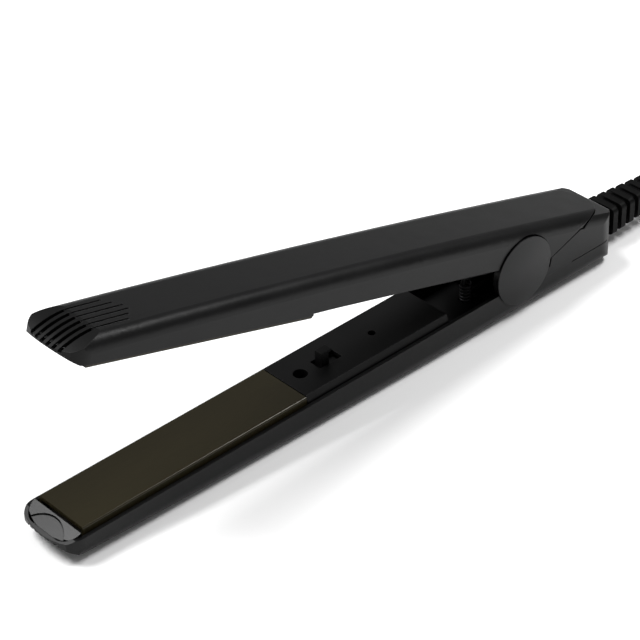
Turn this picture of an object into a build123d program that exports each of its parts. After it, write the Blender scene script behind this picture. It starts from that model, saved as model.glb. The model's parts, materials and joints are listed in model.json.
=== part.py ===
from build123d import *
import os
from collections import namedtuple
from math import cos, pi, radians, sin, tan

# Flat iron: two hinged arms with floating heating plates, a lock, an opening spring and a mains cord.
#
# Millimetres, +Z up. The iron lies on its lower arm: the floor is z = 0, and the origin is the centre of the
# flat that it rests on. +X runs along the arms from the nose to the cord, and +Y is across them.
# Each arm has its own frame on the hinge axis: u runs along the arm towards the tail, and v is square to the
# plates and points from the lower arm to the upper one. The upper arm is drawn in its open place.

os.makedirs("parts", exist_ok=True)

# --- driving dimensions -----------------------------------------------------------------------------------
PLATE_LENGTH = 100.0        # heating plates of the usual one-inch class
PLATE_WIDTH = 24.0
PLATE_THICK = 1.6
PLATE_FRONT = -207.5        # u of the plates' front edge, seen from the hinge axis
PLATE_REAR = PLATE_FRONT + PLATE_LENGTH
NOSE_END = PLATE_FRONT - 9.0
TAIL_END = 53.0
HALF_WIDTH = 14.2           # arms' outer half width
WALL = 1.5
CORNER = 5.0                # rounding of the arms' long outer edges
BOW_RADIUS = 4850.0         # long bow of both outer skins
OPEN_ANGLE = 17.0           # between the plates, at the open stop
LIE_ANGLE = 1.06            # the lower plate drops this much towards the nose as the iron lies
CLOSED_GAP = 0.4            # left between the plates at the closed stop
HINGE_X, HINGE_Z = 89.6, 19.5
RIM_DROP = 2.5              # housing rims stand this far behind the plate faces
GAP = 0.4                   # running gap between the arms' plastic parts

EAR_RADIUS = 13.6           # round ears of the lower arm at the hinge
EAR_THICK = 2.5
CAP_RADIUS = 13.97
TAIL_BORE = 15.5            # round cut in the tail cover beside the ears
PIN_RADIUS = 2.0
BUSH_RADIUS = 3.0
KNUCKLE_RADIUS = 5.2
TAIL_SPLIT = -9.3           # v of the line between lower housing and tail cover

CORD_DIAMETER = 6.5

Arm = namedtuple("Arm", "angle out face apex_u apex_v")
LOWER = Arm(LIE_ANGLE, -1, -3.0, 0.0, -18.9)
UPPER = Arm(LIE_ANGLE - OPEN_ANGLE, 1, -3.0 + CLOSED_GAP, 86.4, 17.6)


# --- frames -----------------------------------------------------------------------------------------------
def along(arm):
    return Vector(cos(radians(arm.angle)), 0, sin(radians(arm.angle)))


def normal(arm):
    return Vector(-sin(radians(arm.angle)), 0, cos(radians(arm.angle)))


def at(arm, u, v, y=0.0):
    """The point (u, v) of an arm's frame, y across."""
    return Vector(HINGE_X, y, HINGE_Z) + along(arm) * u + normal(arm) * v


def side_plane(arm, y=0.0):
    """Side view: local x is u, local y is v, and it faces -Y."""
    return Plane(origin=(HINGE_X, y, HINGE_Z), x_dir=along(arm), z_dir=(0, -1, 0))


def top_plane(arm, v):
    """Plan view at height v: local x is u, local y is Y."""
    return Plane(origin=at(arm, 0, v), x_dir=along(arm), z_dir=normal(arm))


def station(arm, u, v=0.0):
    """Cross-section at u: local x is Y, local y is v."""
    return Plane(origin=at(arm, u, v), x_dir=(0, 1, 0), z_dir=along(arm))


def skin(arm, u):
    """v of the arm's outer skin."""
    return arm.apex_v - arm.out * (u - arm.apex_u) ** 2 / (2 * BOW_RADIUS)


def behind(arm, depth):
    """v that lies `depth` behind the arm's plate face."""
    return arm.face + arm.out * depth


def block(arm, u0, u1, v0, v1, half, y=0.0):
    """A plain box in an arm's frame, `half` wide each side of y."""
    with BuildPart() as made:
        with BuildSketch(side_plane(arm, y)):
            with Locations(((u0 + u1) / 2, (v0 + v1) / 2)):
                Rectangle(abs(u1 - u0), abs(v1 - v0))
        extrude(amount=half, both=True)
    return made.part


def disc(radius, y0, y1, u=0.0, v=0.0, arm=LOWER):
    """A round bar across the arms between y0 and y1."""
    with BuildPart() as made:
        with BuildSketch(side_plane(arm, y0)):
            with Locations((u, v)):
                Circle(radius)
        extrude(amount=-(y1 - y0))
    return made.part


def post(arm, u, y, v0, v1, radius, top_radius=None):
    """A round post square to the plates, tapered if top_radius is given."""
    low, high = min(v0, v1), max(v0, v1)
    with BuildPart() as made:
        with BuildSketch(top_plane(arm, v0)):
            with Locations((u, y)):
                Circle(radius)
        if top_radius is None:
            extrude(amount=(high - low) * (1 if v1 > v0 else -1))
        else:
            with BuildSketch(top_plane(arm, v1)):
                with Locations((u, y)):
                    Circle(top_radius)
            loft()
    return made.part


def hull(arm, inset, rim, u0, u1):
    """An arm's rounded outer form from v = rim out to `inset` inside its skin, between two stations."""
    steps = 5
    with BuildPart() as made:
        for i in range(steps + 1):
            u = u0 + (u1 - u0) * i / steps
            top = skin(arm, u) - arm.out * inset
            with BuildSketch(station(arm, u)):
                with Locations((0, (top + rim) / 2)):
                    Rectangle(2 * (HALF_WIDTH - inset), abs(top - rim))
                outer = vertices().group_by(Axis.Y)[-1 if arm.out > 0 else 0]
                fillet(outer, CORNER - inset)
        loft()
    return made.part


NOSE_BULGE = 3.0            # the noses' fronts curve forward in plan
BROW_U = PLATE_FRONT - 0.4  # the noses slant away from here to their lips


def nose_profile(arm, inset, brow=BROW_U):
    """Side view of an arm in front of the hinge: slanted from `brow` to the lip, then a rounded slope."""
    front = NOSE_END + inset
    far = 30.0
    with BuildPart() as made:
        with BuildSketch(side_plane(arm)):
            with BuildLine():
                rise = arm.out
                start = (front, behind(arm, 5.3))
                end = (-200.5, skin(arm, -200.5) - rise * (inset - 0.2))
                middle = (front + 4.2, behind(arm, 8.0 - inset * 0.7))
                Polyline((70, arm.face - rise * far), (brow, arm.face - rise * far),
                         (brow, behind(arm, 0.7)), (front, behind(arm, 4.6)), start)
                ThreePointArc(start, middle, end)
                Polyline(end, (-200.5, arm.face + rise * far), (70, arm.face + rise * far),
                         (70, arm.face - rise * far))
            make_face()
        extrude(amount=HALF_WIDTH + 5, both=True)
    return made.part


def cavity(arm, rim, u_rear):
    """Hollow inside an arm's shell, WALL thick but for the nose's thinner bulge, from there to u_rear."""
    with BuildPart() as made:
        add(hull(arm, WALL, rim, NOSE_END, u_rear))
        add(nose_profile(arm, WALL, NOSE_END + WALL + 0.01), mode=Mode.INTERSECT)
        add(plan_outline(arm, NOSE_END + WALL, u_rear, HALF_WIDTH - WALL, 6.5, 7.5), mode=Mode.INTERSECT)
    return made.part


def plan_outline(arm, u_front, u_rear, half, front_radius, rear_radius, bulge=0.0):
    """A plan-view prism with rounded corners, right through both arms; its front may bulge forward."""
    with BuildPart() as made:
        with BuildSketch(top_plane(arm, -40)):
            with Locations(((u_front + u_rear) / 2, 0)):
                Rectangle(u_rear - u_front, 2 * half)
            fillet(vertices().group_by(Axis.X)[0], front_radius)
            fillet(vertices().group_by(Axis.X)[-1], rear_radius)
        extrude(amount=80)
        if bulge:
            sweep_radius = (half ** 2 + bulge ** 2) / (2 * bulge)
            with BuildPart(mode=Mode.PRIVATE) as trim:
                add(block(arm, u_front - 1, u_front + bulge, -45, 45, half + 1))
                add(post(arm, u_front + sweep_radius, 0, -50, 50, sweep_radius), mode=Mode.SUBTRACT)
            add(trim.part, mode=Mode.SUBTRACT)
    return made.part


# --- noses: vents run over each slope, and fine grooves lead to them -------------------------------------
VENTS = 6
VENT_PITCH = 2.9
VENT_WIDTH = 1.5
VENT_YS = [(i - (VENTS - 1) / 2) * VENT_PITCH for i in range(VENTS)]


def cut_vents(arm):
    for y in VENT_YS:
        add(block(arm, NOSE_END - 3, -203.5, behind(arm, 5.0), behind(arm, 30), VENT_WIDTH / 2, y),
            mode=Mode.SUBTRACT)
        start = -183.0 - 0.8 * abs(y)
        depth = 0.5
        with BuildPart(mode=Mode.PRIVATE) as groove:
            with BuildSketch(side_plane(arm, y)):
                with BuildLine():
                    a = (-204.5, skin(arm, -204.5) - arm.out * depth)
                    b = (start, skin(arm, start) - arm.out * depth)
                    Polyline(a, b, (start + 0.6, skin(arm, start) + arm.out),
                             (-204.5, skin(arm, -204.5) + arm.out * 2), a)
                make_face()
            extrude(amount=0.4, both=True)
        add(groove.part, mode=Mode.SUBTRACT)


# --- housings ---------------------------------------------------------------------------------------------
LOWER_RIM = behind(LOWER, RIM_DROP)
UPPER_RIM = behind(UPPER, RIM_DROP)
RELIEF_V = -9.6             # axis of the strain relief in the lower arm's frame
NECK = (11.0, 9.0)          # strain relief neck in the tail's end wall

TAIL_WALL = 2.5


def tail_profile():
    """Side view of everything up to the tail's end, with its lower and upper rear corners rounded."""
    with BuildPart() as made:
        with BuildSketch(side_plane(LOWER)):
            with BuildLine():
                Polyline((-230, -20.5), (TAIL_END, -18.6), (TAIL_END, 0.9), (10, 13.9), (10, 60),
                         (-230, 60), (-230, -20.5))
            make_face()
            fillet(vertices().group_by(Axis.X)[-1].sort_by(Axis.Y)[0], 5)
            fillet(vertices().group_by(Axis.X)[-1].sort_by(Axis.Y)[-1], 3)
        extrude(amount=HALF_WIDTH + 5, both=True)
    return made.part


with BuildPart() as lower_housing:
    add(hull(LOWER, 0, LOWER_RIM, NOSE_END - 2, 70))
    add(nose_profile(LOWER, 0), mode=Mode.INTERSECT)
    add(plan_outline(LOWER, NOSE_END, TAIL_END, HALF_WIDTH, 8, 9, NOSE_BULGE), mode=Mode.INTERSECT)
    add(tail_profile(), mode=Mode.INTERSECT)
    add(cavity(LOWER, LOWER_RIM + 2, TAIL_END - TAIL_WALL), mode=Mode.SUBTRACT)
    with BuildPart(mode=Mode.PRIVATE) as above_split:
        add(block(LOWER, 5, 80, TAIL_SPLIT, 10, HALF_WIDTH + 1))
        add(disc(TAIL_BORE, -20, 20), mode=Mode.SUBTRACT)
    add(above_split.part, mode=Mode.SUBTRACT)
    for y0 in (-HALF_WIDTH, HALF_WIDTH - EAR_THICK):
        add(disc(EAR_RADIUS, y0, y0 + EAR_THICK))
    add(disc(PIN_RADIUS, -HALF_WIDTH - 1, HALF_WIDTH + 1), mode=Mode.SUBTRACT)
    for u in (-196.0, -116.0):
        for y in (-7.5, 7.5):
            add(post(LOWER, u, y, behind(LOWER, 8.6), skin(LOWER, u) + WALL * 0.6, 1.6))
    for u in (-99.7, -64.7):
        add(post(LOWER, u, 0, behind(LOWER, 6.2), skin(LOWER, u) + WALL * 0.6, 2.6))
        add(post(LOWER, u, 0, behind(LOWER, 5), behind(LOWER, 11), 0.9), mode=Mode.SUBTRACT)
    for y in (-8.5, 8.5):
        add(post(LOWER, 35.5, y, TAIL_SPLIT - 3.4, skin(LOWER, 35.5) + WALL * 0.6, 2.4))
        add(post(LOWER, 35.5, y, TAIL_SPLIT - 2, TAIL_SPLIT - 8, 1.0), mode=Mode.SUBTRACT)
    add(block(LOWER, TAIL_END - 6, TAIL_END + 5, RELIEF_V - NECK[1] / 2 - 0.2, TAIL_SPLIT + 5,
              NECK[0] / 2 + 0.2), mode=Mode.SUBTRACT)
    cut_vents(LOWER)
    with Locations((0, 0, -10)):
        Box(700, 100, 20, mode=Mode.SUBTRACT)
lower_housing.part.label = "lower_housing"
export_step(lower_housing.part, "parts/lower_housing.step")

UPPER_END = 46.0            # rear end of the upper arm, round in plan


def upper_rear(grow):
    """The upper arm's round rear end in plan, grown all round by `grow`."""
    with BuildPart() as made:
        with BuildSketch(top_plane(UPPER, -40)):
            with Locations((26, 0)):
                Ellipse(UPPER_END - 26 + grow, HALF_WIDTH + grow)
            with Locations((-122, 0)):
                Rectangle(296, 2 * (HALF_WIDTH + grow))
        extrude(amount=80)
    return made.part


def upper_side(grow):
    """Side view of the upper arm's rear, above the slanted edge that meets the tail; grown by `grow`."""
    with BuildPart() as made:
        with BuildSketch(side_plane(UPPER)):
            with BuildLine():
                Polyline((-230, UPPER_RIM - grow), (-109.5, UPPER_RIM - grow), (-109.5, 0.8 - grow),
                         (-99, 1.1 - grow), (-30, 2.1 - grow), (14.2, 2.1 - grow), (15.3, 3.2 - grow),
                         (28.5 + grow, 12.8 - grow), (60, 12.8 - grow), (60, 40), (-230, 40),
                         (-230, UPPER_RIM - grow))
            make_face()
        extrude(amount=HALF_WIDTH + 5, both=True)
    return made.part


with BuildPart() as upper_housing:
    add(hull(UPPER, 0, UPPER_RIM, NOSE_END - 2, 60))
    add(nose_profile(UPPER, 0), mode=Mode.INTERSECT)
    add(plan_outline(UPPER, NOSE_END, 200, HALF_WIDTH, 8, 1, NOSE_BULGE), mode=Mode.INTERSECT)
    add(upper_rear(0), mode=Mode.INTERSECT)
    add(upper_side(0), mode=Mode.INTERSECT)
    with BuildPart(mode=Mode.PRIVATE) as hollow:
        add(cavity(UPPER, UPPER_RIM - 2, 60))
        add(upper_rear(-WALL), mode=Mode.INTERSECT)
    add(hollow.part, mode=Mode.SUBTRACT)
    for y0 in (-HALF_WIDTH - 1, HALF_WIDTH - EAR_THICK - GAP):
        add(disc(EAR_RADIUS + 0.7, y0, y0 + EAR_THICK + GAP + 1), mode=Mode.SUBTRACT)
    for y0 in (-HALF_WIDTH + EAR_THICK + GAP, HALF_WIDTH - EAR_THICK - GAP - 3.6):
        add(disc(KNUCKLE_RADIUS, y0, y0 + 3.6))
        add(block(UPPER, -4.2, 4.2, 0, skin(UPPER, 0) - WALL * 0.5, 1.8, y0 + 1.8))
    add(disc(BUSH_RADIUS, -HALF_WIDTH, HALF_WIDTH), mode=Mode.SUBTRACT)
    for u in (-196.0, -116.0):
        for y in (-7.5, 7.5):
            add(post(UPPER, u, y, behind(UPPER, 8.6), skin(UPPER, u) - WALL * 0.6, 1.6))
    for u in (-99.7, -52.0):
        add(post(UPPER, u, 0, behind(UPPER, 6.2), skin(UPPER, u) - WALL * 0.6, 2.6))
        add(post(UPPER, u, 0, behind(UPPER, 5), behind(UPPER, 11), 0.9), mode=Mode.SUBTRACT)
    cut_vents(UPPER)
upper_housing.part.label = "upper_housing"
export_step(upper_housing.part, "parts/upper_housing.step")


def upper_envelope(grow):
    """Space that the upper arm's rear fills in its open place, grown by `grow`."""
    with BuildPart() as made:
        add(block(UPPER, -12, 70, UPPER_RIM - grow, 45, HALF_WIDTH + 4))
        add(upper_rear(grow), mode=Mode.INTERSECT)
        add(upper_side(grow), mode=Mode.INTERSECT)
    return made.part


HINGE_AXIS = Axis((HINGE_X, 0, HINGE_Z), (0, -1, 0))    # turning about it closes the upper arm

with BuildPart() as tail_cover:
    add(hull(UPPER, 0, -24, 6, 64))
    add(plan_outline(LOWER, 0, TAIL_END, HALF_WIDTH, 1, 9), mode=Mode.INTERSECT)
    add(tail_profile(), mode=Mode.INTERSECT)
    with BuildPart(mode=Mode.PRIVATE) as inside:
        add(hull(UPPER, 1.8, -26, 2, 64))
        add(plan_outline(LOWER, 0, TAIL_END - TAIL_WALL, HALF_WIDTH - 1.8, 1, 7), mode=Mode.INTERSECT)
        add(upper_envelope(GAP + 1.8), mode=Mode.SUBTRACT)
        add(disc(EAR_RADIUS + 3.2, -20, 20), mode=Mode.SUBTRACT)
    add(inside.part, mode=Mode.SUBTRACT)
    for turn in (0, 5, 10):
        add(upper_envelope(GAP).rotate(HINGE_AXIS, turn), mode=Mode.SUBTRACT)
    add(disc(TAIL_BORE, -20, 20), mode=Mode.SUBTRACT)
    add(block(LOWER, -30, 90, TAIL_SPLIT, -60, 30), mode=Mode.SUBTRACT)
    with BuildPart(mode=Mode.PRIVATE) as seam:
        add(block(LOWER, 27, 90, TAIL_SPLIT, TAIL_SPLIT + 0.35, 30))
        add(block(LOWER, 20, TAIL_END - 0.9, TAIL_SPLIT - 1, TAIL_SPLIT + 1, HALF_WIDTH - 0.9),
            mode=Mode.SUBTRACT)
    add(seam.part, mode=Mode.SUBTRACT)
    add(block(LOWER, TAIL_END - 6, TAIL_END + 5, TAIL_SPLIT - 1, RELIEF_V + NECK[1] / 2 + 0.2,
              NECK[0] / 2 + 0.2), mode=Mode.SUBTRACT)
tail_cover.part.label = "tail_cover"
export_step(tail_cover.part, "parts/tail_cover.step")


# --- hinge ------------------------------------------------------------------------------------------------
with BuildPart() as hinge_pin:
    add(disc(PIN_RADIUS, -HALF_WIDTH, HALF_WIDTH))
hinge_pin.part.label = "hinge_pin"
export_step(hinge_pin.part, "parts/hinge_pin.step")

BUSH_FACE = HALF_WIDTH - EAR_THICK - GAP
with BuildPart() as hinge_bushes:
    for y0 in (-BUSH_FACE, BUSH_FACE - 3.6):
        add(disc(BUSH_RADIUS, y0, y0 + 3.6))
        add(disc(PIN_RADIUS + 0.05, y0 - 1, y0 + 5), mode=Mode.SUBTRACT)
hinge_bushes.part.label = "hinge_bushes"
export_step(hinge_bushes.part, "parts/hinge_bushes.step")


CAP_RISE = 1.5              # height of a cap's centre over the ear
CAP_SAGITTA = 0.9           # how much its domed face falls to the rim


def hinge_cap(side):
    """Round cover over an ear: a hub, a square rim and a shallow domed face."""
    dome = (CAP_RADIUS ** 2 + CAP_SAGITTA ** 2) / (2 * CAP_SAGITTA)
    inner = side * HALF_WIDTH
    step = side * (HALF_WIDTH + 0.3)
    top = side * (HALF_WIDTH + CAP_RISE)
    with BuildPart() as made:
        add(disc(CAP_RADIUS, min(step, top), max(step, top)))
        with Locations((HINGE_X, side * (HALF_WIDTH + CAP_RISE - dome), HINGE_Z)):
            Sphere(dome, mode=Mode.INTERSECT)
        add(disc(10, min(inner, step), max(inner, step)))
    return made.part


with BuildPart() as hinge_cap_near:
    add(hinge_cap(-1))
hinge_cap_near.part.label = "hinge_cap_near"
export_step(hinge_cap_near.part, "parts/hinge_cap_near.step")

with BuildPart() as hinge_cap_far:
    add(hinge_cap(1))
hinge_cap_far.part.label = "hinge_cap_far"
export_step(hinge_cap_far.part, "parts/hinge_cap_far.step")


# --- heating plates, alike in both arms -------------------------------------------------------------------
PLATE_MID = (PLATE_FRONT + PLATE_REAR) / 2
CUSHION_US = (-196.0, -116.0)
CUSHION_YS = (-7.5, 7.5)


def bar(arm, u0, u1, depth0, depth1, half, y=0.0):
    """A box between two depths behind the arm's plate face."""
    return block(arm, u0, u1, behind(arm, depth0), behind(arm, depth1), half, y)


def plate(arm):
    """Heating plate: a flat face with rounded long edges and two skirts that reach into the arm."""
    with BuildPart() as made:
        add(bar(arm, PLATE_FRONT, PLATE_REAR, 0, 4.2, PLATE_WIDTH / 2))
        face_edges = [e for e in made.edges() if abs(e.length - PLATE_LENGTH) < 0.01]
        face_edges = sorted(face_edges, key=lambda e: arm.out * e.center().Z)[:2]
        fillet(face_edges, 0.8)
        add(bar(arm, PLATE_FRONT - 1, PLATE_REAR + 1, PLATE_THICK, 6, PLATE_WIDTH / 2 - 1.2),
            mode=Mode.SUBTRACT)
    return made.part


def carrier(arm):
    """Heat-proof tray behind a plate, with a pocket for the heater and pads over the cushions."""
    with BuildPart() as made:
        add(bar(arm, PLATE_FRONT + 2, PLATE_REAR - 2, PLATE_THICK, 6.6, 9.5))
        add(bar(arm, PLATE_MID - 32, PLATE_MID + 32, 0, 6.0, 6.5), mode=Mode.SUBTRACT)
        add(bar(arm, PLATE_MID + 31, PLATE_REAR, 3.4, 4.6, 2.5), mode=Mode.SUBTRACT)
    return made.part


def heater(arm):
    """Ceramic heater bar against the plate's back."""
    with BuildPart() as made:
        add(bar(arm, PLATE_MID - 31, PLATE_MID + 31, PLATE_THICK, 4.8, 6))
    return made.part


def clip(arm):
    """Bowed steel strip that presses the heater against the plate."""
    with BuildPart() as made:
        add(bar(arm, PLATE_MID - 26, PLATE_MID + 26, 4.8, 5.1, 4))
        for u in (PLATE_MID - 26, PLATE_MID, PLATE_MID + 25):
            add(bar(arm, u, u + 1, 5.1, 6.0, 4))
    return made.part


def cushions(arm):
    """Four silicone cushions on the arm's posts, which the plate set floats on."""
    with BuildPart() as made:
        for u in CUSHION_US:
            for y in CUSHION_YS:
                add(post(arm, u, y, behind(arm, 6.6), behind(arm, 8.6), 2.2))
    return made.part


with BuildPart() as lower_plate:
    add(plate(LOWER))
lower_plate.part.label = "lower_plate"
export_step(lower_plate.part, "parts/lower_plate.step")

with BuildPart() as upper_plate:
    add(plate(UPPER))
upper_plate.part.label = "upper_plate"
export_step(upper_plate.part, "parts/upper_plate.step")

with BuildPart() as lower_carrier:
    add(carrier(LOWER))
lower_carrier.part.label = "lower_carrier"
export_step(lower_carrier.part, "parts/lower_carrier.step")

with BuildPart() as upper_carrier:
    add(carrier(UPPER))
upper_carrier.part.label = "upper_carrier"
export_step(upper_carrier.part, "parts/upper_carrier.step")

with BuildPart() as lower_heater:
    add(heater(LOWER))
lower_heater.part.label = "lower_heater"
export_step(lower_heater.part, "parts/lower_heater.step")

with BuildPart() as upper_heater:
    add(heater(UPPER))
upper_heater.part.label = "upper_heater"
export_step(upper_heater.part, "parts/upper_heater.step")

with BuildPart() as lower_clip:
    add(clip(LOWER))
lower_clip.part.label = "lower_clip"
export_step(lower_clip.part, "parts/lower_clip.step")

with BuildPart() as upper_clip:
    add(clip(UPPER))
upper_clip.part.label = "upper_clip"
export_step(upper_clip.part, "parts/upper_clip.step")

with BuildPart() as lower_cushions:
    add(cushions(LOWER))
lower_cushions.part.label = "lower_cushions"
export_step(lower_cushions.part, "parts/lower_cushions.step")

with BuildPart() as upper_cushions:
    add(cushions(UPPER))
upper_cushions.part.label = "upper_cushions"
export_step(upper_cushions.part, "parts/upper_cushions.step")


# --- noses ------------------------------------------------------------------------------------------------
def nose_insert(arm, shell):
    """Filler in the nose ahead of the plate: a slanted face with a curved step, inside the shell's lip."""
    front = PLATE_FRONT - 1.3
    with BuildPart() as made:
        add(bar(arm, NOSE_END, front, 0, 6.5, HALF_WIDTH))
        add(nose_profile(arm, 0.4), mode=Mode.INTERSECT)
        add(plan_outline(arm, NOSE_END + WALL, -150, HALF_WIDTH - WALL, 6.5, 1, NOSE_BULGE),
            mode=Mode.INTERSECT)
        add(shell, mode=Mode.SUBTRACT)
        add(nose_step(arm), mode=Mode.SUBTRACT)
    return made.part


def nose_step(arm):
    """Crescent cut into the nose filler's slanted face."""
    with BuildPart() as made:
        with BuildSketch(side_plane(arm)):
            with BuildLine():
                Polyline((NOSE_END - 1, behind(arm, 5.6)), (BROW_U, behind(arm, 1.7)),
                         (BROW_U, behind(arm, -3)), (NOSE_END - 1, behind(arm, -3)),
                         (NOSE_END - 1, behind(arm, 5.6)))
            make_face()
        extrude(amount=HALF_WIDTH, both=True)
        add(post(arm, -221.0, 0, behind(arm, -5), behind(arm, 10), 11.5), mode=Mode.INTERSECT)
    return made.part


with BuildPart() as lower_nose:
    add(nose_insert(LOWER, lower_housing.part))
lower_nose.part.label = "lower_nose"
export_step(lower_nose.part, "parts/lower_nose.step")

with BuildPart() as upper_nose:
    add(nose_insert(UPPER, upper_housing.part))
upper_nose.part.label = "upper_nose"
export_step(upper_nose.part, "parts/upper_nose.step")


# --- inner panels behind the plates -----------------------------------------------------------------------
PANEL_FRONT = PLATE_REAR + 0.5
PANEL_HALF = 12.0
PANEL_FACE_HALF = 10.9
PANEL_THICK = 1.6
STEP_U = -37.2              # where the lower panel steps down to the spring tray
TRAY_DEPTH = 9.0
TRAY_END = -11.5
SPRING_FOOT = (-16.3, -15.6)
SPRING_HEAD = (-17.6, -4.65)
UPPER_SCREW_US = (-99.7, -52.0)
LOWER_SCREW_US = (-99.7, -64.7)
SCREW_HEAD_RADII = (2.75, 1.5)


def bevelled(arm, u0, u1, face):
    """Panel strip with bevelled long edges and skirts; `face` is the v of its visible side."""
    with BuildPart() as made:
        with BuildSketch(station(arm, u0)):
            with BuildLine():
                o = arm.out
                Polyline((-PANEL_HALF, face + o * 5), (-PANEL_HALF, face + o * 2.6),
                         (-PANEL_FACE_HALF, face), (PANEL_FACE_HALF, face),
                         (PANEL_HALF, face + o * 2.6), (PANEL_HALF, face + o * 5),
                         (PANEL_HALF - 1.2, face + o * 5), (PANEL_HALF - 1.2, face + o * 3),
                         (PANEL_FACE_HALF - 0.8, face + o * PANEL_THICK),
                         (-PANEL_FACE_HALF + 0.8, face + o * PANEL_THICK),
                         (-PANEL_HALF + 1.2, face + o * 3), (-PANEL_HALF + 1.2, face + o * 5),
                         (-PANEL_HALF, face + o * 5))
            make_face()
        extrude(amount=u1 - u0)
    return made.part


HOOK_SLOT = (-92.6, -81.9, 2.7)
with BuildPart() as lower_panel:
    add(bevelled(LOWER, PANEL_FRONT, STEP_U, LOWER.face))
    add(bar(LOWER, PANEL_FRONT, PANEL_FRONT + 1.2, 1.0, 4.4, PANEL_HALF - 1))
    add(bar(LOWER, STEP_U - 1.5, STEP_U, 1.0, TRAY_DEPTH + 1.2, PANEL_HALF - 1))
    add(bar(LOWER, STEP_U - 1.5, TRAY_END, TRAY_DEPTH, TRAY_DEPTH + 1.2, PANEL_HALF - 0.8))
    for u, head in zip(LOWER_SCREW_US, SCREW_HEAD_RADII):
        add(post(LOWER, u, 0, behind(LOWER, 1), behind(LOWER, 6.2), head + 0.9))
        add(post(LOWER, u, 0, behind(LOWER, -1), behind(LOWER, 4.6), head), mode=Mode.SUBTRACT)
        add(post(LOWER, u, 0, behind(LOWER, 4), behind(LOWER, 7), 0.95), mode=Mode.SUBTRACT)
    add(bar(LOWER, HOOK_SLOT[0], HOOK_SLOT[1], -1, PANEL_THICK + 1, HOOK_SLOT[2]), mode=Mode.SUBTRACT)
    foot_u, foot_v = SPRING_FOOT
    add(post(LOWER, foot_u, 0, behind(LOWER, TRAY_DEPTH), foot_v - 1.0, 3.6))
    add(post(LOWER, foot_u, 0, behind(LOWER, TRAY_DEPTH - 1), foot_v, 2.85), mode=Mode.SUBTRACT)
lower_panel.part.label = "lower_panel"
export_step(lower_panel.part, "parts/lower_panel.step")

UPPER_PANEL_V = -0.4        # the upper panel sits back from its plate
CATCH_SLOT = (-94.0, -76.5, 3.3)
with BuildPart() as upper_panel:
    add(bevelled(UPPER, PANEL_FRONT, -14.6, UPPER_PANEL_V))
    add(block(UPPER, -15, -12, UPPER_PANEL_V, UPPER_PANEL_V + PANEL_THICK, 8))
    for u in UPPER_SCREW_US:
        add(post(UPPER, u, 0, UPPER_PANEL_V + 1, behind(UPPER, 6.2), 3.3))
        add(post(UPPER, u, 0, UPPER_PANEL_V - 1, UPPER_PANEL_V + 2.6, 2.4), mode=Mode.SUBTRACT)
        add(post(UPPER, u, 0, UPPER_PANEL_V, behind(UPPER, 7), 0.95), mode=Mode.SUBTRACT)
    add(block(UPPER, CATCH_SLOT[0], CATCH_SLOT[1], UPPER_PANEL_V - 1, UPPER_PANEL_V + 3, CATCH_SLOT[2]),
        mode=Mode.SUBTRACT)
    add(post(UPPER, -15.5, 0, UPPER_PANEL_V + 1, -6.5, 3.0, 2.6))
    add(post(UPPER, -15.5, 0, -6.4, -9.9, 1.2, 1.0))
upper_panel.part.label = "upper_panel"
export_step(upper_panel.part, "parts/upper_panel.step")


# --- opening spring ---------------------------------------------------------------------------------------
SPRING_RADIUS = 2.2
WIRE_RADIUS = 0.35
SPRING_TURNS = 7
with BuildPart() as spring:
    foot = at(LOWER, *SPRING_FOOT)
    head = at(LOWER, *SPRING_HEAD)
    rise = (head - foot).length - 2 * WIRE_RADIUS
    seat = Plane(origin=foot + (head - foot).normalized() * WIRE_RADIUS, z_dir=head - foot)
    with BuildLine(seat):
        coil_line = Helix(rise / SPRING_TURNS, rise, SPRING_RADIUS)
    with BuildSketch(Plane(origin=coil_line @ 0, z_dir=coil_line % 0)):
        Circle(WIRE_RADIUS)
    sweep(path=coil_line, is_frenet=True)
spring.part.label = "spring"
export_step(spring.part, "parts/spring.step")


# --- lock: a sliding hook in the lower arm and a catch in the upper one ----------------------------------
LOCK_TRAVEL = 4.0
with BuildPart() as lock_slider:
    add(bar(LOWER, -95.6, -82.5, 2.1, 3.5, 6))
    add(block(LOWER, -91, -87.5, behind(LOWER, 2.1), 2.0, 1.8))
    add(block(LOWER, -87.5, -86, 1.0, 2.0, 1.8))
    for u in (-94.8, -92.5):
        add(bar(LOWER, u, u + 0.8, 1.95, 2.1, 5))
lock_slider.part.label = "lock_slider"
export_step(lock_slider.part, "parts/lock_slider.step")

with BuildPart() as lock_guide:
    add(bar(LOWER, -95.8, -76, 3.9, 5.1, 7.5))
    for y in (-7.2, 7.2):
        add(bar(LOWER, -95.8, -76, PANEL_THICK, 3.9, 0.6, y))
lock_guide.part.label = "lock_guide"
export_step(lock_guide.part, "parts/lock_guide.step")

CATCH_EDGE = -83.1
with BuildPart() as lock_catch:
    add(block(UPPER, CATCH_EDGE, -76.7, -0.1, 0.6, 3.1))
    add(block(UPPER, -77.6, -76.7, -0.1, 1.9, 3.1))
    add(block(UPPER, -77.6, -70, UPPER_PANEL_V + PANEL_THICK, 1.9, 5))
lock_catch.part.label = "lock_catch"
export_step(lock_catch.part, "parts/lock_catch.step")


# --- screws -----------------------------------------------------------------------------------------------
def panel_screw(arm, u, seat_v, head, end_v):
    """Pan-head screw through a panel into an arm's post."""
    with BuildPart() as made:
        add(post(arm, u, 0, seat_v, seat_v - arm.out * 1.0, head))
        add(post(arm, u, 0, seat_v, end_v, 0.88))
        cross_top = seat_v - arm.out * 1.0
        for half_u, half_y in ((head * 0.6, 0.2), (0.2, head * 0.6)):
            add(block(arm, u - half_u, u + half_u, cross_top, cross_top + arm.out * 0.5, half_y),
                mode=Mode.SUBTRACT)
    return made.part


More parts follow.
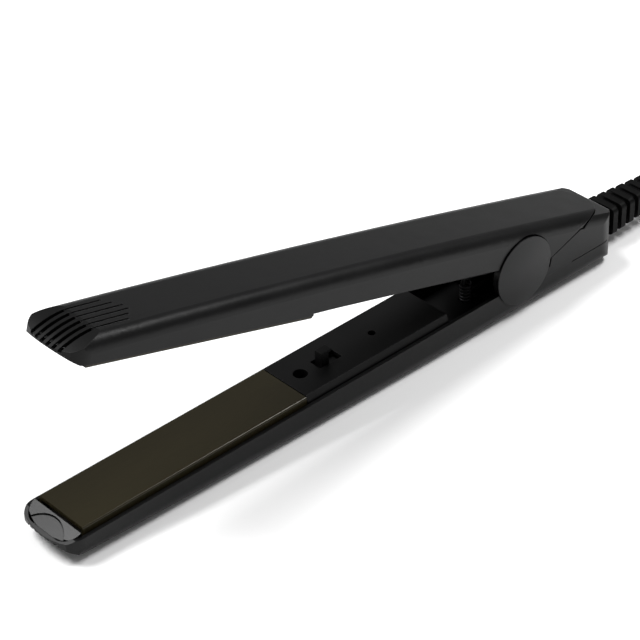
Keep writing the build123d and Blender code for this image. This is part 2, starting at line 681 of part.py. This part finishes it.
with BuildPart() as lower_screws:
    for u, head in zip(LOWER_SCREW_US, SCREW_HEAD_RADII):
        add(panel_screw(LOWER, u, behind(LOWER, 4.6), head - 0.15, behind(LOWER, 10)))
lower_screws.part.label = "lower_screws"
export_step(lower_screws.part, "parts/lower_screws.step")

with BuildPart() as upper_screws:
    for u in UPPER_SCREW_US:
        add(panel_screw(UPPER, u, UPPER_PANEL_V + 2.6, 2.25, behind(UPPER, 10)))
upper_screws.part.label = "upper_screws"
export_step(upper_screws.part, "parts/upper_screws.step")


# --- electrics in the lower arm ---------------------------------------------------------------------------
BOARD_DEPTH = 8.5
with BuildPart() as circuit_board:
    add(bar(LOWER, -61, -39, BOARD_DEPTH, BOARD_DEPTH + 1.2, 9))
circuit_board.part.label = "circuit_board"
export_step(circuit_board.part, "parts/circuit_board.step")

with BuildPart() as board_parts:
    add(bar(LOWER, -59, -52, BOARD_DEPTH - 3.0, BOARD_DEPTH, 3.2, -4.5))
    add(bar(LOWER, -58, -54, BOARD_DEPTH - 1.6, BOARD_DEPTH, 2.0, 3.5))
    add(bar(LOWER, -48, -44, BOARD_DEPTH - 1.2, BOARD_DEPTH, 3.0, 0))
    for y in (-6, 6):
        add(post(LOWER, -42, y, behind(LOWER, BOARD_DEPTH), behind(LOWER, BOARD_DEPTH - 2.6), 1.6))
board_parts.part.label = "board_parts"
export_step(board_parts.part, "parts/board_parts.step")


def lead_wire(arm, u0, u1, depth, y, radius=0.8):
    """A straight insulated wire along an arm."""
    with BuildPart() as made:
        with BuildSketch(station(arm, u0)):
            with Locations((y, behind(arm, depth))):
                Circle(radius)
        extrude(amount=u1 - u0)
    return made.part


with BuildPart() as thermal_fuse:
    add(lead_wire(LOWER, -104, -95, 8.6, 6.5, 1.8))
thermal_fuse.part.label = "thermal_fuse"
export_step(thermal_fuse.part, "parts/thermal_fuse.step")

with BuildPart() as lower_leads:
    add(lead_wire(LOWER, -104, -61, 8.9, -6.5))
    add(lead_wire(LOWER, -95, -61, 8.9, 6.5))
    for y in (-5.5, 5.5):
        add(lead_wire(LOWER, -39, 33.5, 11.6, y, 0.9))
lower_leads.part.label = "lower_leads"
export_step(lower_leads.part, "parts/lower_leads.step")

with BuildPart() as upper_leads:
    for y in (-5.5, 5.5):
        add(lead_wire(UPPER, -104, -20, 9.0, y))
upper_leads.part.label = "upper_leads"
export_step(upper_leads.part, "parts/upper_leads.step")


# --- mains cord -------------------------------------------------------------------------------------------
CORD_Z = 10.83
CORD_RADIUS = CORD_DIAMETER / 2
TAIL_X = at(LOWER, TAIL_END, RELIEF_V).X
RELIEF_END = 200.0


def row_bar(x0, x1, half_y, half_z, radius, z=CORD_Z, y=0.0):
    """A rounded bar along X in the row frame."""
    with BuildPart() as made:
        with BuildSketch(Plane(origin=(x0, y, z), x_dir=(0, 1, 0), z_dir=(1, 0, 0))):
            RectangleRounded(2 * half_y, 2 * half_z, radius)
        extrude(amount=x1 - x0)
    return made.part


FLANGE_X = (TAIL_X - TAIL_WALL - 2.3, TAIL_X - TAIL_WALL - 0.3)
RIBS = 10
RIB_PITCH = 5.14
with BuildPart() as strain_relief:
    add(row_bar(FLANGE_X[0], FLANGE_X[1], 7.0, 5.5, 1.5))
    add(row_bar(FLANGE_X[0], TAIL_X + 2.5, NECK[0] / 2, NECK[1] / 2, 1.5))
    with BuildSketch(Plane(origin=(TAIL_X + 2.5, 0, CORD_Z), x_dir=(0, 1, 0), z_dir=(1, 0, 0))):
        RectangleRounded(10.4, 8.8, 2)
    with BuildSketch(Plane(origin=(RELIEF_END, 0, CORD_Z), x_dir=(0, 1, 0), z_dir=(1, 0, 0))):
        RectangleRounded(7.8, 7.4, 2)
    loft()
    for i in range(RIBS):
        t = i / (RIBS - 1)
        x = TAIL_X + 5.2 + RIB_PITCH * i
        add(row_bar(x, x + 2.6, (14 - 4.8 * t) / 2, (12 - 3.6 * t) / 2, 2))
strain_relief.part.label = "strain_relief"
export_step(strain_relief.part, "parts/strain_relief.step")

CLAMP_US = (33.0, 38.0)
with BuildPart() as inner_cord:
    with BuildSketch(Plane(origin=(at(LOWER, 32, 0).X, 0, CORD_Z), x_dir=(0, 1, 0), z_dir=(1, 0, 0))):
        Circle(CORD_RADIUS)
    extrude(amount=FLANGE_X[0] - at(LOWER, 32, 0).X)
inner_cord.part.label = "inner_cord"
export_step(inner_cord.part, "parts/inner_cord.step")

with BuildPart() as cord_clamp:
    add(block(LOWER, CLAMP_US[0], CLAMP_US[1], TAIL_SPLIT - 3.4, TAIL_SPLIT + 4.8, 11))
    with BuildPart(mode=Mode.PRIVATE) as way:
        add(row_bar(at(LOWER, 25, 0).X, FLANGE_X[0], CORD_RADIUS + 0.1, CORD_RADIUS + 0.1, 3.2))
    add(way.part, mode=Mode.SUBTRACT)
    for y in (-8.5, 8.5):
        add(post(LOWER, 35.5, y, TAIL_SPLIT - 6, TAIL_SPLIT + 8, 1.0), mode=Mode.SUBTRACT)
cord_clamp.part.label = "cord_clamp"
export_step(cord_clamp.part, "parts/cord_clamp.step")

with BuildPart() as clamp_screws:
    for y in (-8.5, 8.5):
        add(post(LOWER, 35.5, y, TAIL_SPLIT + 4.8, TAIL_SPLIT + 5.8, 1.9))
        add(post(LOWER, 35.5, y, TAIL_SPLIT + 4.8, TAIL_SPLIT - 7, 0.95))
clamp_screws.part.label = "clamp_screws"
export_step(clamp_screws.part, "parts/clamp_screws.step")

# the put-away length is wound into a flat hank of two columns and three layers, and a strap ties it
HANK_X = 255.0              # middle of the near fold
HANK_Y = -12.0
HANK_RUN = 81.0             # straight length between the two folds
HANK_LAYERS = 3
HANK_BASE = 0.8             # the strap's thickness lies under the cord
FOLD = 3.5 * CORD_DIAMETER  # mean radius of the folds
HANK_HALF = FOLD + CORD_DIAMETER
HANK_TOP = HANK_BASE + HANK_LAYERS * CORD_DIAMETER
PLUG_Y, PLUG_Z = HANK_Y, HANK_TOP + 6.85
PLUG_REAR = 262.0


def corner_radii(points):
    """The largest even radius for each corner of a route: 0.45 of the shorter run over tan(half turn)."""
    radii = []
    for a, b, c in zip(points, points[1:], points[2:]):
        run_in = Vector(*b) - Vector(*a)
        run_out = Vector(*c) - Vector(*b)
        half_turn = radians(run_in.get_angle(run_out)) / 2
        radii.append(0.45 * min(run_in.length, run_out.length) / tan(half_turn))
    return radii


def cord_tube(points):
    """A cord of straight runs and tangent arcs along a route."""
    radii = corner_radii(points)
    with BuildPart() as made:
        with BuildLine() as path:
            FilletPolyline(*points, radius=radii)
        with BuildSketch(Plane(origin=points[0], z_dir=path.wire() % 0)):
            Circle(CORD_RADIUS)
        sweep()
    print("radii", [round(r, 1) for r in radii], "length", round(path.wire().length, 1),
          "volume over section", round(made.part.volume / (pi * CORD_RADIUS ** 2), 1))
    return made.part


LOW_Z = HANK_BASE + CORD_RADIUS
LAST_Z = HANK_TOP - CORD_RADIUS
LEAD_ROUTE = [(RELIEF_END, 0, CORD_Z), (217, 0, CORD_Z), (238, 8, 5), (257, 14, LOW_Z), (276, 14, LOW_Z)]
TAIL_ROUTE = [(336, -31.5, LAST_Z), (316, -31.5, 17.4), (297, -24, 21.5), (278, -14, 26.6),
              (PLUG_REAR, PLUG_Y, PLUG_Z)]
with BuildPart() as cord_lead:
    add(cord_tube(LEAD_ROUTE))
cord_lead.part.label = "cord_lead"
export_step(cord_lead.part, "parts/cord_lead.step")

with BuildPart() as cord_hank:
    with BuildSketch(Plane(origin=(HANK_X + HANK_RUN / 2, HANK_Y, HANK_BASE))):
        SlotCenterToCenter(HANK_RUN, 2 * HANK_HALF)
        SlotCenterToCenter(HANK_RUN, 2 * (FOLD - CORD_DIAMETER), mode=Mode.SUBTRACT)
    extrude(amount=HANK_TOP - HANK_BASE)
    fillet(cord_hank.edges().filter_by(Axis.Z, reverse=True), 2.5)
cord_hank.part.label = "cord_hank"
export_step(cord_hank.part, "parts/cord_hank.step")

TIE_X = (322.0, 334.0)
with BuildPart() as cord_tie:
    with BuildSketch(Plane(origin=(TIE_X[0], HANK_Y, (HANK_TOP + HANK_BASE) / 2), x_dir=(0, 1, 0),
                           z_dir=(1, 0, 0))):
        RectangleRounded(2 * (HANK_HALF + HANK_BASE), HANK_TOP + HANK_BASE, 3.2)
        RectangleRounded(2 * HANK_HALF, HANK_TOP - HANK_BASE, 2.5, mode=Mode.SUBTRACT)
    extrude(amount=TIE_X[1] - TIE_X[0])
cord_tie.part.label = "cord_tie"
export_step(cord_tie.part, "parts/cord_tie.step")

with BuildPart() as cord_tail:
    add(cord_tube(TAIL_ROUTE))
cord_tail.part.label = "cord_tail"
export_step(cord_tail.part, "parts/cord_tail.step")

PLUG_FACE = PLUG_REAR - 37.0
PIN_LENGTH = 19.0


def plug_section(x, width, height, radius):
    """Rounded section of the plug at x, for the sketch of a loft or an extrusion."""
    with BuildSketch(Plane(origin=(x, PLUG_Y, PLUG_Z), x_dir=(0, 1, 0), z_dir=(1, 0, 0))) as section:
        RectangleRounded(width, height, radius)
    return section.sketch


with BuildPart() as plug_body:
    extrude(plug_section(PLUG_FACE, 35.3, 13.7, 5.5), amount=14)
    loft([plug_section(PLUG_FACE + 14, 33, 13.2, 5), plug_section(PLUG_FACE + 28, 14, 10, 3)])
    extrude(plug_section(PLUG_FACE + 28, 10, 9.2, 2), amount=9)
plug_body.part.label = "plug_body"
export_step(plug_body.part, "parts/plug_body.step")

with BuildPart() as plug_pins:
    for y in (PLUG_Y - 9.3, PLUG_Y + 9.3):
        with Locations(Location((PLUG_FACE, y, PLUG_Z), (0, -90, 0))):
            Cylinder(2.0, PIN_LENGTH - 2, align=(Align.CENTER, Align.CENTER, Align.MIN))
        with Locations(Location((PLUG_FACE - PIN_LENGTH + 2, y, PLUG_Z), (0, -90, 0))):
            Cone(2.0, 1.2, 2, align=(Align.CENTER, Align.CENTER, Align.MIN))
plug_pins.part.label = "plug_pins"
export_step(plug_pins.part, "parts/plug_pins.step")
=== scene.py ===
import json
from math import cos, pi, radians, sin

import bpy
from mathutils import Matrix, Vector


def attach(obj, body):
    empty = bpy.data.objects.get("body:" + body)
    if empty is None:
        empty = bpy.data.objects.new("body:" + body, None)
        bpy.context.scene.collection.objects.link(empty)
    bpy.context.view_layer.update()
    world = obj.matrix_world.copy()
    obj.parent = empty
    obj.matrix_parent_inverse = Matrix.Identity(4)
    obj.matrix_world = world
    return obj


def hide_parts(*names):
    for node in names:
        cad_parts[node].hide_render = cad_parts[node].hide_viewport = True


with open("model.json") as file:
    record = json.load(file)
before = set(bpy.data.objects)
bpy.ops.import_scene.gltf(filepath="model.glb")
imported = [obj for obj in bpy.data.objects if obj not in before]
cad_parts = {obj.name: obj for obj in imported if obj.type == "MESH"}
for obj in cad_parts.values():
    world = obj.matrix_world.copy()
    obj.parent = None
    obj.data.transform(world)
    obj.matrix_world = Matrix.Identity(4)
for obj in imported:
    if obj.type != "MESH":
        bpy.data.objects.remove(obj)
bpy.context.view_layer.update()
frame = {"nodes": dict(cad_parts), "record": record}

NODES = frame["nodes"]
MM = 0.001


# --- materials --------------------------------------------------------------------------------------------
def plastic(name, colour, roughness, grain=0.02, grain_mm=0.35, tint=0.12, edge_mm=0.25, gloss=0.5):
    """Moulded plastic or rubber: mottled colour, fine moulded grain, uneven gloss and softened edges."""
    material = bpy.data.materials.new(name)
    material.use_nodes = True
    tree = material.node_tree
    shader = tree.nodes["Principled BSDF"]
    place = tree.nodes.new("ShaderNodeNewGeometry")

    cloud = tree.nodes.new("ShaderNodeTexNoise")
    cloud.inputs["Scale"].default_value = 60.0
    cloud.inputs["Detail"].default_value = 4.0
    tree.links.new(place.outputs["Position"], cloud.inputs["Vector"])
    ramp = tree.nodes.new("ShaderNodeValToRGB")
    ramp.color_ramp.elements[0].position = 0.3
    ramp.color_ramp.elements[1].position = 0.7
    ramp.color_ramp.elements[0].color = [c * (1 - tint) for c in colour] + [1]
    ramp.color_ramp.elements[1].color = [c * (1 + tint) for c in colour] + [1]
    tree.links.new(cloud.outputs["Fac"], ramp.inputs["Fac"])
    tree.links.new(ramp.outputs["Color"], shader.inputs["Base Color"])

    shader.inputs["Specular IOR Level"].default_value = gloss
    uneven = tree.nodes.new("ShaderNodeMapRange")
    uneven.inputs["From Min"].default_value = 0.3
    uneven.inputs["From Max"].default_value = 0.7
    uneven.inputs["To Min"].default_value = roughness * 0.9
    uneven.inputs["To Max"].default_value = roughness * 1.12
    tree.links.new(cloud.outputs["Fac"], uneven.inputs["Value"])
    tree.links.new(uneven.outputs["Result"], shader.inputs["Roughness"])

    texture = tree.nodes.new("ShaderNodeTexNoise")
    texture.inputs["Scale"].default_value = 1000.0 / grain_mm
    texture.inputs["Detail"].default_value = 2.0
    tree.links.new(place.outputs["Position"], texture.inputs["Vector"])
    bump = tree.nodes.new("ShaderNodeBump")
    bump.inputs["Strength"].default_value = 1.0
    bump.inputs["Distance"].default_value = grain * MM
    tree.links.new(texture.outputs["Fac"], bump.inputs["Height"])
    if edge_mm:
        soft = tree.nodes.new("ShaderNodeBevel")
        soft.samples = 4
        soft.inputs["Radius"].default_value = edge_mm * MM
        tree.links.new(soft.outputs["Normal"], bump.inputs["Normal"])
    tree.links.new(bump.outputs["Normal"], shader.inputs["Normal"])
    return material


def metal(name, colour, roughness, brush_mm=0.3, brush=0.004, metallic=1.0, gloss=0.5):
    """Metal with fine brush lines along the object and uneven gloss."""
    material = bpy.data.materials.new(name)
    material.use_nodes = True
    tree = material.node_tree
    shader = tree.nodes["Principled BSDF"]
    shader.inputs["Metallic"].default_value = metallic
    shader.inputs["Specular IOR Level"].default_value = gloss
    place = tree.nodes.new("ShaderNodeNewGeometry")
    stretch = tree.nodes.new("ShaderNodeVectorMath")
    stretch.operation = "MULTIPLY"
    stretch.inputs[1].default_value = (0.04, 1.0, 1.0)
    tree.links.new(place.outputs["Position"], stretch.inputs[0])
    lines = tree.nodes.new("ShaderNodeTexNoise")
    lines.inputs["Scale"].default_value = 1000.0 / brush_mm
    lines.inputs["Detail"].default_value = 3.0
    tree.links.new(stretch.outputs[0], lines.inputs["Vector"])
    ramp = tree.nodes.new("ShaderNodeValToRGB")
    ramp.color_ramp.elements[0].position = 0.25
    ramp.color_ramp.elements[1].position = 0.75
    ramp.color_ramp.elements[0].color = [c * 0.92 for c in colour] + [1]
    ramp.color_ramp.elements[1].color = [min(1, c * 1.08) for c in colour] + [1]
    tree.links.new(lines.outputs["Fac"], ramp.inputs["Fac"])
    tree.links.new(ramp.outputs["Color"], shader.inputs["Base Color"])
    uneven = tree.nodes.new("ShaderNodeMapRange")
    uneven.inputs["To Min"].default_value = roughness * 0.8
    uneven.inputs["To Max"].default_value = roughness * 1.2
    tree.links.new(lines.outputs["Fac"], uneven.inputs["Value"])
    tree.links.new(uneven.outputs["Result"], shader.inputs["Roughness"])
    bump = tree.nodes.new("ShaderNodeBump")
    bump.inputs["Strength"].default_value = 1.0
    bump.inputs["Distance"].default_value = brush * MM
    tree.links.new(lines.outputs["Fac"], bump.inputs["Height"])
    tree.links.new(bump.outputs["Normal"], shader.inputs["Normal"])
    return material


MATERIALS = {
    "shell": plastic("shell_plastic", (0.0024, 0.0024, 0.0025), 0.36, grain=0.005, grain_mm=0.6,
                     gloss=0.16),
    "panel": plastic("panel_plastic", (0.0024, 0.0024, 0.0025), 0.4, grain=0.006, gloss=0.16),
    "nose": plastic("nose_plastic", (0.0015, 0.0015, 0.0015), 0.24, grain=0.002, gloss=0.2),
    "cap": plastic("cap_plastic", (0.0042, 0.0042, 0.0044), 0.34, grain=0.005, gloss=0.18),
    "plate": metal("plate_coating", (0.021, 0.0175, 0.0085), 0.2, metallic=0.15, gloss=0.22),
    "carrier": plastic("carrier_resin", (0.02, 0.017, 0.013), 0.6),
    "ceramic": plastic("heater_ceramic", (0.6, 0.58, 0.52), 0.5),
    "steel": metal("blackened_steel", (0.05, 0.05, 0.052), 0.38),
    "silicone": plastic("cushion_silicone", (0.2, 0.04, 0.02), 0.55),
    "board": plastic("board_laminate", (0.01, 0.07, 0.03), 0.4),
    "component": plastic("inner_plastic", (0.006, 0.006, 0.006), 0.45, gloss=0.3),
    "wire": plastic("wire_sleeve", (0.010, 0.010, 0.010), 0.6, gloss=0.2),
    "rubber": plastic("cord_rubber", (0.0012, 0.0012, 0.0012), 0.55, grain=0.01, edge_mm=0.3,
                      gloss=0.08),
    "brass": metal("pin_metal", (0.62, 0.6, 0.56), 0.25),
}


def finish_nodes():
    """Each CAD node takes the material of its slot in the record."""
    for entry in frame["record"]["subparts"]:
        mesh = NODES[entry["node"]].data
        mesh.materials.clear()
        mesh.materials.append(MATERIALS[entry["material_slot"]])


# --- mains cord: a lead, a flat tied hank and the end that goes to the plug ------------------------------
CORD_D = 6.5
HANK_X = 255.0
HANK_Y = -12.0
HANK_RUN = 81.0
HANK_BASE = 0.8
FOLD = 3.5 * CORD_D
LOW_Z = HANK_BASE + CORD_D / 2
LEAD = [(200, 0, 10.83), (217, 0, 10.83), (238, 8, 5), (252, 13, LOW_Z)]
LAST = [(316, -31.5, 17.4), (297, -24, 21.5), (278, -14, 26.6), (262, -12, 27.15)]
PER_FOLD = 8
SLOTS = [(1, 0), (-1, 0), (-1, 1), (1, 1), (1, 2), (-1, 2)]
TURNS = 5
CHANGE_START = 0.62         # part of a turn after which the cord moves to its next slot
CHANGE_LENGTH = 0.3


def slot_place(turn):
    """(side, layer) of the hank's cord `turn` turns in; it changes slot on the near fold."""
    index = min(int(turn), TURNS)
    part = turn - index
    side, layer = SLOTS[index]
    if index < TURNS and part > CHANGE_START:
        t = min(1.0, (part - CHANGE_START) / CHANGE_LENGTH)
        t = t * t * (3 - 2 * t)
        side += (SLOTS[index + 1][0] - side) * t
        layer += (SLOTS[index + 1][1] - layer) * t
    return side, layer


def hank_points():
    """Control points of the hank: along its far side, round the outer fold, back and round the near fold."""
    stops = [(0.02, 0.0, 1), (0.5, 0.0, 1), (0.98, 0.0, 1)]
    stops += [(1, (i + 0.5) / PER_FOLD, 1) for i in range(PER_FOLD)]
    stops += [(0.98, 0.0, -1), (0.5, 0.0, -1), (0.02, 0.0, -1)]
    stops += [(0, (i + 0.5) / PER_FOLD, -1) for i in range(PER_FOLD)]
    points = []
    for step in range(TURNS * len(stops) + len(stops) // 2 + 1):
        reach, bend, way = stops[step % len(stops)]
        side, layer = slot_place(step / len(stops))
        radius = FOLD + side * CORD_D / 2
        height = LOW_Z + layer * CORD_D
        if reach in (0, 1):
            radius /= cos(pi / PER_FOLD / 2)
            angle = way * pi / 2 - pi * bend
        else:
            angle = way * pi / 2
        x = HANK_X + HANK_RUN * reach + radius * cos(angle)
        points.append((x, HANK_Y + radius * sin(angle), height))
    return points


def make_cord():
    points = [Vector(p) * MM for p in LEAD + hank_points() + LAST]
    curve = bpy.data.curves.new("mains_cord", "CURVE")
    curve.dimensions = "3D"
    curve.bevel_depth = CORD_D / 2 * MM
    curve.bevel_resolution = 6
    curve.use_fill_caps = True
    spline = curve.splines.new("NURBS")
    spline.points.add(len(points) - 1)
    for knot, point in zip(spline.points, points):
        knot.co = (*point, 1)
    spline.order_u = 3
    spline.use_endpoint_u = True
    spline.resolution_u = 8
    cord = bpy.data.objects.new("mains_cord", curve)
    bpy.context.collection.objects.link(cord)
    curve.materials.append(MATERIALS["rubber"])
    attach(cord, "lower_arm")
    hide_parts("cord_lead", "cord_hank", "cord_tail")


# --- camera, floor and light ------------------------------------------------------------------------------
CAMERA_LENS = 140.93
CAMERA_PLACE = (-484.3, -542.4, 541.4)
CAMERA_RIGHT = (0.73745, -0.67516, -0.01794)
CAMERA_DOWN = (-0.39777, -0.41269, -0.81943)
CAMERA_FORWARD = (0.54584, 0.61143, -0.5729)
FLOOR_HALF = 6.0            # metres
WORLD_STRENGTH = 0.3
SUN_STRENGTH = 3.3
SUN_WIDTH = 28              # degrees
SUN_DIRECTION = (0.34, -0.52, -1.0)


def make_camera():
    data = bpy.data.cameras.new("camera")
    data.sensor_width = 36
    data.lens = CAMERA_LENS
    data.clip_end = 20
    camera = bpy.data.objects.new("camera", data)
    rows = (Vector(CAMERA_RIGHT), -Vector(CAMERA_DOWN), -Vector(CAMERA_FORWARD))
    turn = Matrix(rows).transposed().to_4x4()
    camera.matrix_world = Matrix.Translation(Vector(CAMERA_PLACE) * MM) @ turn
    bpy.context.collection.objects.link(camera)
    bpy.context.scene.camera = camera


def area_light(name, place, target, size, power):
    data = bpy.data.lights.new(name, "AREA")
    data.shape = "RECTANGLE"
    data.size, data.size_y = size
    data.energy = power
    light = bpy.data.objects.new(name, data)
    light.location = place
    light.rotation_euler = (Vector(target) - Vector(place)).to_track_quat("-Z", "Y").to_euler()
    bpy.context.collection.objects.link(light)


def make_floor():
    mesh = bpy.data.meshes.new("floor")
    half = FLOOR_HALF
    mesh.from_pydata([(-half, -half, 0), (half, -half, 0), (half, half, 0), (-half, half, 0)], [],
                     [(0, 1, 2, 3)])
    floor = bpy.data.objects.new("floor", mesh)
    bpy.context.collection.objects.link(floor)
    material = bpy.data.materials.new("floor_paper")
    material.use_nodes = True
    tree = material.node_tree
    shader = tree.nodes["Principled BSDF"]
    shader.inputs["Roughness"].default_value = 0.9
    shader.inputs["Specular IOR Level"].default_value = 0.0
    mottle = tree.nodes.new("ShaderNodeTexNoise")
    mottle.inputs["Scale"].default_value = 3.0
    ramp = tree.nodes.new("ShaderNodeValToRGB")
    ramp.color_ramp.elements[0].color = (0.92, 0.92, 0.92, 1)
    ramp.color_ramp.elements[1].color = (0.95, 0.95, 0.95, 1)
    tree.links.new(mottle.outputs["Fac"], ramp.inputs["Fac"])
    tree.links.new(ramp.outputs["Color"], shader.inputs["Base Color"])
    mesh.materials.append(material)


def make_light():
    """Even pale surroundings, a wide soft sun and one panel for the highlight along the upper arm."""
    world = bpy.data.worlds.new("studio")
    world.use_nodes = True
    world.node_tree.nodes["Background"].inputs["Color"].default_value = (1, 1, 1, 1)
    world.node_tree.nodes["Background"].inputs["Strength"].default_value = WORLD_STRENGTH
    bpy.context.scene.world = world
    bpy.context.scene.view_settings.view_transform = "Standard"
    sun_data = bpy.data.lights.new("sky_light", "SUN")
    sun_data.energy = SUN_STRENGTH
    sun_data.angle = radians(SUN_WIDTH)
    sun = bpy.data.objects.new("sky_light", sun_data)
    sun.rotation_euler = Vector(SUN_DIRECTION).to_track_quat("-Z", "Y").to_euler()
    bpy.context.collection.objects.link(sun)
    area_light("band", (0.62, -0.22, 0.98), (-0.02, 0, 0.05), (0.5, 0.22), 9)


finish_nodes()
make_cord()
make_camera()
make_floor()
make_light()
